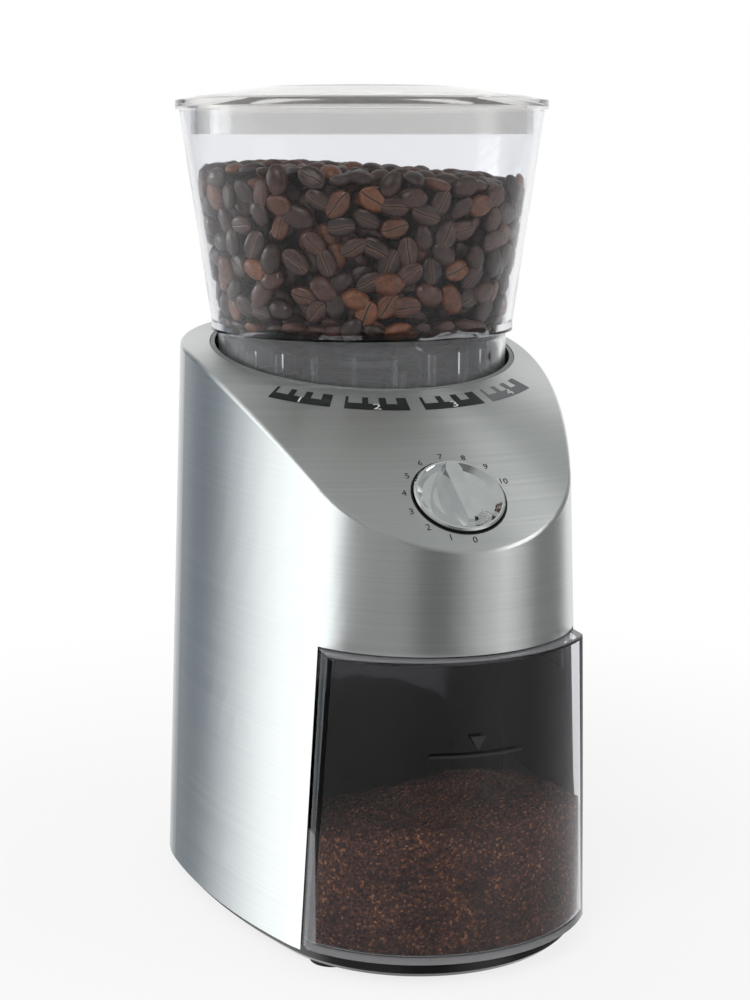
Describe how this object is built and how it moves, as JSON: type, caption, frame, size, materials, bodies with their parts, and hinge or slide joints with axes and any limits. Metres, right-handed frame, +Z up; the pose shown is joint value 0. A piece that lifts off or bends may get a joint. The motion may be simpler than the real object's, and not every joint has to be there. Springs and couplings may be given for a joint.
{
  "type": "burr coffee grinder",
  "caption": "Burr coffee grinder: steel housing with domed top, clear bean hopper and lid, chrome timer dial, black base and a clear grounds container that slides out in front.",
  "frame": {"origin": "on the table, under the middle of the object's box", "axes": "+Z up, front with the grounds container towards -Y, +X to the right of someone who stands in front of it and looks at it"},
  "size_m": [0.1438, 0.2038, 0.2938],
  "materials": {
    "housing_steel": "satin, brushed around the body",
    "base_black": "glossy black",
    "rubber_black": "matt black rubber",
    "fastener_steel": "zinc plated",
    "bay_plastic": "charcoal, fine grain",
    "chamber_plastic": "dark grey moulding",
    "case_plastic": "grey glass-filled moulding",
    "burr_steel": "hardened and ground",
    "shaft_steel": "ground",
    "bush_bronze": "sintered bronze",
    "gear_plastic": "natural moulding",
    "core_iron": "stacked laminations",
    "bracket_metal": "die cast",
    "copper": "enamelled copper wire",
    "carbon": "pressed carbon",
    "fan_plastic": "black moulding",
    "dial_chrome": "polished",
    "clear_plastic": "clear, polished",
    "roasted_bean": "oily dark roast",
    "ground_bean": "matt grains"
  },
  "bodies": {
    "housing": {"housing_shell": "housing_steel", "base_plate": "base_black", "rubber_feet": "rubber_black", "base_screws": "fastener_steel", "bay_liner": "bay_plastic", "chute": "bay_plastic", "grind_chamber": "chamber_plastic", "well_liner": "bay_plastic", "lower_bush": "bush_bronze", "upper_bush": "bush_bronze", "gear_case": "case_plastic", "gear_case_cover": "case_plastic", "idler_pin": "shaft_steel", "support_posts": "fastener_steel", "stack_screws": "fastener_steel", "lower_motor_bracket": "bracket_metal", "upper_motor_bracket": "bracket_metal", "motor_bushes": "bush_bronze", "tie_bolts": "fastener_steel", "field_core": "core_iron", "field_coils": "copper", "carbon_brushes": "carbon", "brush_holders": "bush_bronze", "motor_mounts": "rubber_black", "timer_body": "bay_plastic", "dial_seal": "rubber_black", "interlock_switch": "fan_plastic", "cord_gland": "rubber_black"},
    "adjust_ring": {"adjust_ring": "chamber_plastic"},
    "hopper": {"hopper": "clear_plastic", "hopper_funnel": "clear_plastic", "hopper_collar": "clear_plastic", "collar_ribs": "clear_plastic", "coffee_beans": "roasted_bean"},
    "lid": {"hopper_lid": "clear_plastic"},
    "burr_carrier": {"burr_carrier": "chamber_plastic", "ring_burr": "burr_steel"},
    "container": {"grounds_container": "clear_plastic", "ground_coffee": "ground_bean"},
    "dial": {"timer_dial": "dial_chrome", "timer_spindle": "shaft_steel"},
    "burr_rotor": {"burr_shaft": "shaft_steel", "burr_nut": "shaft_steel", "cone_burr": "burr_steel", "sweeper": "chamber_plastic", "drive_gear": "gear_plastic"},
    "idler": {"idler_gear": "gear_plastic"},
    "motor_rotor": {"motor_shaft": "shaft_steel", "armature_core": "core_iron", "armature_winding": "copper", "commutator": "copper", "motor_pinion": "bush_bronze", "cooling_fan": "fan_plastic"},
    "plunger": {"interlock_plunger": "chamber_plastic"}
  },
  "joints": [
    {"name": "adjust_turn", "type": "hinge", "parent": "housing", "child": "adjust_ring", "pos_m": [0, 0.0202, 0.185], "axis": [0, 0, 1], "range_deg": [-105, 8]},
    {"name": "hopper_lift", "type": "slide", "parent": "adjust_ring", "child": "hopper", "axis": [0, 0, 1], "range_m": [0, 0.12]},
    {"name": "lid_lift", "type": "slide", "parent": "hopper", "child": "lid", "axis": [0, 0, 1], "range_m": [0, 0.08]},
    {"name": "burr_set", "type": "slide", "parent": "housing", "child": "burr_carrier", "axis": [0, 0, 1], "range_m": [-0.000875, 0.0000667]},
    {"name": "container_slide", "type": "slide", "parent": "housing", "child": "container", "axis": [0, -1, 0], "range_m": [0, 0.11]},
    {"name": "dial_turn", "type": "hinge", "parent": "housing", "child": "dial", "pos_m": [0, -0.0824, 0.16141], "axis": [0, -0.6202, 0.7844], "range_deg": [-252, 0], "stiffness_Nm_per_rad": 0.002},
    {"name": "burr_spin", "type": "hinge", "parent": "housing", "child": "burr_rotor", "pos_m": [0, 0.0202, 0.15], "axis": [0, 0, 1], "continuous": true},
    {"name": "idler_spin", "type": "hinge", "parent": "housing", "child": "idler", "pos_m": [-0.02209, 0.0505, 0.13], "axis": [0, 0, 1], "continuous": true},
    {"name": "motor_spin", "type": "hinge", "parent": "housing", "child": "motor_rotor", "pos_m": [0, 0.0622, 0.06], "axis": [0, 0, 1], "continuous": true},
    {"name": "plunger_press", "type": "slide", "parent": "housing", "child": "plunger", "axis": [0, 0, -1], "range_m": [0, 0.0015], "stiffness_N_per_m": 200}
  ],
  "couplings": [
    {"joint": "burr_set", "follows": "adjust_turn", "m_per_rad": 0.00047746},
    {"joint": "idler_spin", "follows": "burr_spin", "ratio": -4},
    {"joint": "motor_spin", "follows": "burr_spin", "ratio": 16}
  ]
}
